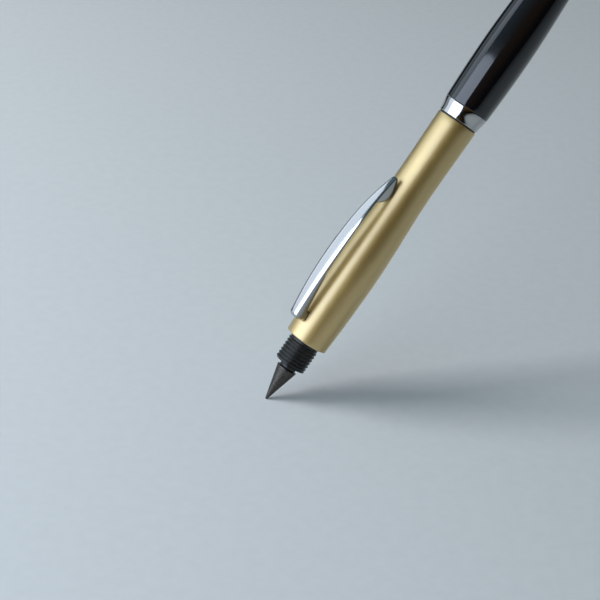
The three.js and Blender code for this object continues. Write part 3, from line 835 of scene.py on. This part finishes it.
# %% [markdown]
# The black front barrel steps out a hair beyond the ring, swells a little and then
# tapers slowly to the nose. The nose is a slightly bulged cone with a hole that
# the chosen refill's point comes through.

# %% Black barrel
_, sleeve_top, sleeve_radius = span("joint_sleeve")
sleeve_bore = sleeve_radius + fit
sleeve_end = sleeve_top + 0.3
front_bore = guide_radius + 0.15
front_edge = 0.15
nose_base_radius = front_bore + 0.5
front_end_radius = nose_base_radius + 0.1
front_start_radius = ring_radius + 0.1
peak = (front_radius, front_bottom + 15)
lacquered = turn_profile("lacquered_barrel", [
    (sleeve_bore, front_bottom)]
    + rounded_corner(front_start_radius, front_bottom, front_edge, 1)
    + run_between((front_start_radius, front_bottom + front_edge), peak, swelling, steps=14)[1:]
    + run_between(peak, (front_end_radius, front_top - front_edge), eased, steps=28)[1:]
    + list(reversed(rounded_corner(front_end_radius, front_top, front_edge, -1)[:-1]))
    + [(front_bore, front_top), (front_bore, sleeve_end), (sleeve_bore, sleeve_end),
       (sleeve_bore, front_bottom)], steps=fine_turn)
smooth(lacquered)
dress(lacquered, "front_barrel")

# %% Nose
hole_radius, hole_length = 1.35, 1
nose_lip, nose_bulge = 0.5, 0.25
nose_shank = front_bore - fit
nose_inner = nose_shank - 0.45


def nose_outside(steps=20):
    """A straight cone from the black barrel's end to the lip of the hole, with a slight bulge."""
    points = []
    for i in range(steps + 1):
        share = i / steps
        straight = nose_base_radius + (hole_radius + nose_lip - nose_base_radius) * share
        points.append((straight + nose_bulge * math.sin(math.pi * share),
                       front_top + (nose_top - front_top) * share))
    return points


nose = turn_profile("polished_nose", [
    (nose_inner, shank_bottom), (nose_shank, shank_bottom), (nose_shank, front_top)]
    + nose_outside()
    + [(hole_radius, nose_top), (hole_radius, nose_top - hole_length), (nose_inner, front_top),
       (nose_inner, shank_bottom)], steps=fine_turn)
break_edges(nose, 0.06, angle=35)
smooth(nose)
dress(nose, "nose_cone")

# %% [markdown]
# Inside, each refill has a return spring of drawn wire between its carrier and a
# fixed stop. The Screw modifier winds one vertex to a helix, whose first and last
# curls are closed up, and the helix becomes a curve with the wire's thickness.
# The spring is built once, at rest, leaning a little from its seat to the stop,
# and is not attached to either body. Its wire and its lean leave room for the
# refill.

# %% Return springs
spring_seat, stop_height, _ = span("spring_black")
seat_offset, stop_offset = 2.1, 1.97
curl_radius = 1.515
wire_radius = 0.08
closed_rise = 2.2 * wire_radius
curls, curl_steps = 8, 32


def wound_height(turn, rise):
    """Height of the wire's middle after some turns: closed at both ends, even between."""
    even = (rise - 2 * closed_rise) / (curls - 2)
    return (closed_rise * min(turn, 1) + even * min(max(turn - 1, 0), curls - 2)
            + closed_rise * max(turn - curls + 1, 0))


def return_spring(name, side):
    """Winds a helix of one millimetre a turn, then gives each vertex its height and its lean."""
    rise = stop_height - spring_seat - 2 * wire_radius
    spring = draw_profile(name, [(curl_radius, 0)])
    bpy.ops.object.mode_set(mode="OBJECT")
    screw = spring.modifiers.new("winding", "SCREW")
    screw.angle = 2 * math.pi
    screw.screw_offset = mm
    screw.iterations = curls
    screw.steps = screw.render_steps = curl_steps
    apply_modifiers(spring)
    for vertex in spring.data.vertices:
        height = wound_height(vertex.co.z / mm, rise)
        offset = seat_offset + (stop_offset - seat_offset) * height / rise
        vertex.co.x += side * offset * mm
        vertex.co.z = (spring_seat + wire_radius + height) * mm
    bpy.ops.object.convert(target="CURVE")
    spring = bpy.context.object
    spring.data.bevel_depth = wire_radius * mm
    spring.data.bevel_resolution = 2
    spring.data.use_fill_caps = True
    bpy.ops.object.convert(target="MESH")
    spring = bpy.context.object
    smooth(spring, 60)
    return spring


for colour, side in (("black", 1), ("red", -1)):
    node, carrier = f"spring_{colour}", f"carrier_{colour}"
    spring = return_spring(f"return_spring_{colour}", side)
    stand_for(spring, node)
    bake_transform(spring)

# %% [markdown]
# The floor is a plain pale sheet that passes through the pencil point. The
# camera looks down on it by about thirty degrees, so it slants in the pen's own
# axes. A view from under the sheet looks through it, so the pen still shows.

# %% Floor
floor_side = 3.0
floor_drop = 0.02
floor_normal = view_to_pen @ Vector((
    0, math.cos(camera_height_angle), math.sin(camera_height_angle)))
floor_across = view_to_pen @ Vector((1, 0, 0))
floor_away = floor_normal.cross(floor_across)
floor_turn = Matrix((floor_across, floor_away, floor_normal)).transposed().to_4x4()


def floor_material():
    material, tree, output = new_material("pale_studio_floor")
    fibres = grain(tree, 3 * mm, 3.0)
    colour = two_tones(tree, fibres.outputs["Fac"], "C8CAC6", "CBCDC9")
    sheet = add_node(tree, "ShaderNodeBsdfDiffuse", {"Color": colour.outputs["Color"]})
    clear = add_node(tree, "ShaderNodeBsdfTransparent")
    side = add_node(tree, "ShaderNodeNewGeometry")
    ray = add_node(tree, "ShaderNodeLightPath")
    both = add_node(tree, "ShaderNodeMath", {
        0: side.outputs["Backfacing"], 1: ray.outputs["Is Camera Ray"]}, operation="MULTIPLY")
    mix = add_node(tree, "ShaderNodeMixShader", {
        "Fac": both.outputs["Value"], 1: sheet.outputs["BSDF"], 2: clear.outputs["BSDF"]})
    finish_with(tree, output, mix)
    return material


deselect_all()
bpy.ops.mesh.primitive_plane_add(size=floor_side)
floor = bpy.context.object
floor.name = "studio_floor"
floor.matrix_world = Matrix.Translation(floor_normal * -floor_drop * mm) @ floor_turn
floor.data.materials.append(floor_material())
print("floor's up direction in the pen's axes:", [round(value, 3) for value in floor_normal])

# %% [markdown]
# A product photograph of polished metal is lit by what the metal mirrors. Three
# bright panels stand on the pen's left. The front one makes the pale streak on
# the gold and the white band on the ring. The two dimmer ones behind it give the
# clip its even grey face and darker edge. A smaller, stronger lamp above them
# throws the long soft shadow to the right, and is kept out of reflections as a
# hidden lamp would be. Places are in the photographer's terms: right, away and up
# from the pencil point, on the floor.

# %% Lamps
def floor_point(right, away, up):
    """A place on or above the floor, in the pen's axes."""
    return floor_across * right + floor_away * away + floor_normal * up


def soft_lamp(name, place, aim, width, height, watts, colour):
    data = bpy.data.lights.new(name, "AREA")
    data.shape = "RECTANGLE"
    data.size = width
    data.size_y = height
    data.energy = watts
    data.color = linear(colour)[:3]
    lamp = bpy.data.objects.new(name, data)
    start = floor_point(*place)
    turn = (floor_point(*aim) - start).to_track_quat("-Z", "Y")
    lamp.matrix_world = Matrix.Translation(start) @ turn.to_matrix().to_4x4()
    bpy.context.scene.collection.objects.link(lamp)
    return lamp


def lamp_place(azimuth, elevation, distance):
    """Right, away and up of a lamp, from its angle behind (+) or before (-) the pen's left."""
    turn, rise = math.radians(azimuth), math.radians(elevation)
    return (-math.cos(turn) * math.cos(rise) * distance,
            math.sin(turn) * math.cos(rise) * distance,
            math.sin(rise) * distance)


def glow(width, height, brightness):
    """Watts of a lamp whose face is to look this bright in a mirror."""
    return brightness * math.pi * width * height


pen_middle = (0.03, 0.0, 0.04)
lamps = {}
# Each row has a name, azimuth, elevation, distance, width, height, brightness and colour.
for name, azimuth, elevation, distance, width, height, brightness, colour in (
        ("key_lamp", 21, 48, 1.1, 0.44, 0.44, 12.3, "F1F4FD"),
        ("front_left_panel", -32.5, 26, 0.5, 0.57, 0.52, 3.25, "DAE8FF"),
        ("left_panel", 17, 31, 0.6, 0.28, 0.6, 1.25, "E6F0FF"),
        ("back_left_panel", 44, 25, 0.6, 0.3, 0.5, 0.4, "E6F0FF")):
    lamps[name] = soft_lamp(name, lamp_place(azimuth, elevation, distance), pen_middle,
                            width, height, glow(width, height, brightness), colour)
lamps["key_lamp"].visible_glossy = False
print("lamps:", ", ".join(lamps))

# %% [markdown]
# The metal also mirrors the room. It is cool behind the pen and to its left, and
# warmer and darker towards the viewer and the right, which gives the gold its
# deep side. It is dim near the floor and lighter above. The camera itself sees a
# plain pale backdrop in its place, so a view from the side or the back is as
# light as the front.

# %% World
world = bpy.data.worlds.new("studio")
world.use_nodes = True
bpy.context.scene.world = world
sky = world.node_tree
sky.nodes.clear()
direction = add_node(sky, "ShaderNodeTexCoord")
warm_side = (floor_across * 0.5 - floor_away).normalized()
warmward = add_node(sky, "ShaderNodeVectorMath", {
    0: direction.outputs["Generated"], 1: warm_side}, operation="DOT_PRODUCT")
warm_share = add_node(sky, "ShaderNodeMapRange", {
    "Value": warmward.outputs["Value"], "From Min": -0.2, "From Max": 0.7})
room = add_node(sky, "ShaderNodeMix", {
    "Factor": warm_share.outputs["Result"],
    "A": linear("94BDCB"), "B": linear("82653A")}, data_type="RGBA")
upward = add_node(sky, "ShaderNodeVectorMath", {
    0: direction.outputs["Generated"], 1: floor_normal}, operation="DOT_PRODUCT")
strength = add_node(sky, "ShaderNodeMapRange", {
    "Value": upward.outputs["Value"], "From Min": 0.12, "From Max": 0.42,
    "To Min": 0.03, "To Max": 0.33})
around = add_node(sky, "ShaderNodeBackground", {
    "Color": room.outputs[2], "Strength": strength.outputs["Result"]})
plain = add_node(sky, "ShaderNodeBackground", {"Color": linear("AEB9C1"), "Strength": 1.0})
ray = add_node(sky, "ShaderNodeLightPath")
seen = add_node(sky, "ShaderNodeMixShader", {
    "Fac": ray.outputs["Is Camera Ray"],
    1: around.outputs["Background"], 2: plain.outputs["Background"]})
sky_output = add_node(sky, "ShaderNodeOutputWorld")
sky.links.new(seen.outputs["Shader"], sky_output.inputs["Surface"])
print("world:", world.name)
